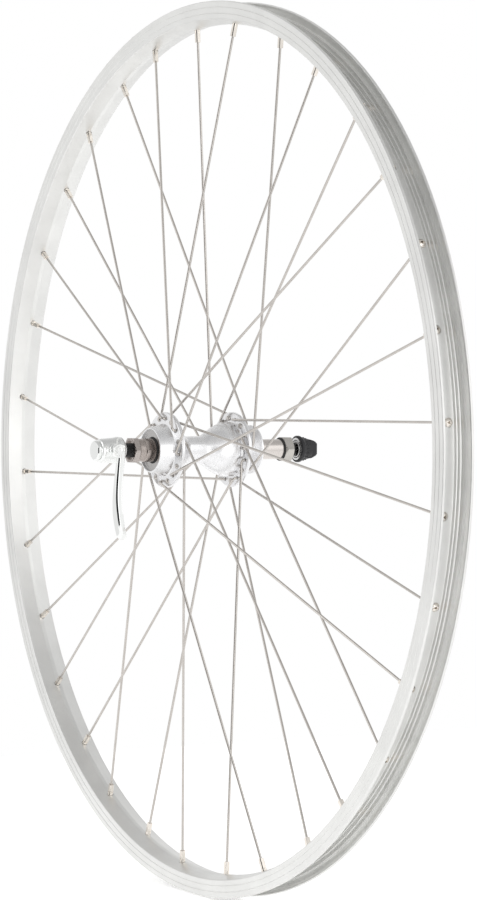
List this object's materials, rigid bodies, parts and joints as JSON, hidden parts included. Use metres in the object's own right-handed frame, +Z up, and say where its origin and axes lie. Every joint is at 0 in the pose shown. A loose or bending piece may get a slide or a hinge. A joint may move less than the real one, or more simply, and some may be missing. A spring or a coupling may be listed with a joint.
{
  "type": "rear bicycle wheel with quick release skewer",
  "caption": "Spoked rear bicycle wheel with a single-wall alloy rim, a cup and cone hub threaded for a screw-on freewheel, and a quick release skewer with an internal cam lever.",
  "frame": {"origin": "middle of the wheel, where the axle's axis crosses the rim's centre plane", "axes": "+Y along the axle towards the freewheel thread, -Y towards the quick release lever, +Z up; X and Z lie in the plane of the wheel"},
  "size_m": [0.6339, 0.1798, 0.634],
  "materials": {
    "rim_metal": "satin silver anodised",
    "hub_metal": "polished",
    "spoke_steel": "drawn stainless, satin",
    "nipple_plate": "nickel plated brass",
    "bearing_steel": "ground and hardened",
    "cap_steel": "zinc plated, dull",
    "black_steel": "black oxide",
    "cone_steel": "oiled steel",
    "seal_rubber": "matte",
    "spacer_nickel": "satin nickel",
    "locknut_dark": "oiled steel",
    "locknut_steel": "zinc plated",
    "spring_steel": "bright wire",
    "lever_chrome": "polished chrome plate",
    "rod_steel": "zinc plated",
    "ring_chrome": "plated steel",
    "nut_plastic": "moulded, fine texture"
  },
  "bodies": {
    "axle_set": {"axle": "black_steel", "cone_left": "cone_steel", "cone_right": "cone_steel", "seal_left": "seal_rubber", "seal_right": "seal_rubber", "spacer_left": "cone_steel", "spacer_right": "spacer_nickel", "washer_right": "black_steel", "locknut_left": "locknut_dark", "locknut_right": "locknut_steel"},
    "wheel": {"rim": "rim_metal", "hub_shell": "hub_metal", "spokes_left_inner": "spoke_steel", "spokes_left_outer": "spoke_steel", "spokes_right_inner": "spoke_steel", "spokes_right_outer": "spoke_steel", "nipples_left": "nipple_plate", "nipples_right": "nipple_plate", "bearing_cup_left": "bearing_steel", "bearing_cup_right": "bearing_steel", "dust_cap_left": "cap_steel", "dust_cap_right": "cap_steel"},
    "left_bearing": {"balls_left": "bearing_steel"},
    "right_bearing": {"balls_right": "bearing_steel"},
    "skewer_slider": {"spring_left": "spring_steel"},
    "skewer_head": {"lever_housing": "lever_chrome", "housing_end_cap": "lever_chrome", "grip_ring_left": "cap_steel"},
    "lever_and_cam": {"lever": "lever_chrome", "cam_shaft": "bearing_steel", "cam_clip": "black_steel"},
    "rod": {"skewer_rod": "rod_steel"},
    "nut_slider": {"spring_right": "spring_steel"},
    "nut": {"quick_release_nut": "nut_plastic", "nut_insert": "rod_steel", "grip_ring_right": "ring_chrome"}
  },
  "joints": [
    {"name": "wheel_spin", "type": "hinge", "parent": "axle_set", "child": "wheel", "pos_m": [0, 0, 0], "axis": [0, 1, 0], "continuous": true},
    {"name": "left_ball_orbit", "type": "hinge", "parent": "axle_set", "child": "left_bearing", "pos_m": [0, -0.0415, 0], "axis": [0, 1, 0], "continuous": true},
    {"name": "right_ball_orbit", "type": "hinge", "parent": "axle_set", "child": "right_bearing", "pos_m": [0, 0.028, 0], "axis": [0, 1, 0], "continuous": true},
    {"name": "skewer_slide", "type": "slide", "parent": "axle_set", "child": "skewer_slider", "axis": [0, 1, 0], "range_m": [-0.003, 0.004], "stiffness_N_per_m": 1000, "deforming": ["spring_left"]},
    {"name": "skewer_turn", "type": "hinge", "parent": "skewer_slider", "child": "skewer_head", "pos_m": [0, -0.081, 0], "axis": [0, 1, 0], "continuous": true},
    {"name": "lever_turn", "type": "hinge", "parent": "skewer_head", "child": "lever_and_cam", "pos_m": [0, -0.081, 0], "axis": [-1, 0, 0], "range_deg": [0, 180]},
    {"name": "rod_draw", "type": "slide", "parent": "skewer_head", "child": "rod", "axis": [0, 1, 0], "range_m": [0, 0.0022]},
    {"name": "nut_travel", "type": "slide", "parent": "rod", "child": "nut_slider", "axis": [0, 1, 0], "range_m": [-0.0016, 0.0016], "deforming": ["spring_right"]},
    {"name": "nut_turn", "type": "hinge", "parent": "nut_slider", "child": "nut", "pos_m": [0, 0.0713, 0], "axis": [0, 1, 0], "range_deg": [-720, 720]}
  ],
  "couplings": [
    {"joint": "left_ball_orbit", "follows": "wheel_spin", "ratio": 0.6169},
    {"joint": "right_ball_orbit", "follows": "wheel_spin", "ratio": 0.6169},
    {"joint": "rod_draw", "follows": "lever_turn", "m_per_rad": 0.00070028},
    {"joint": "nut_travel", "follows": "nut_turn", "m_per_rad": 0.00012732}
  ]
}
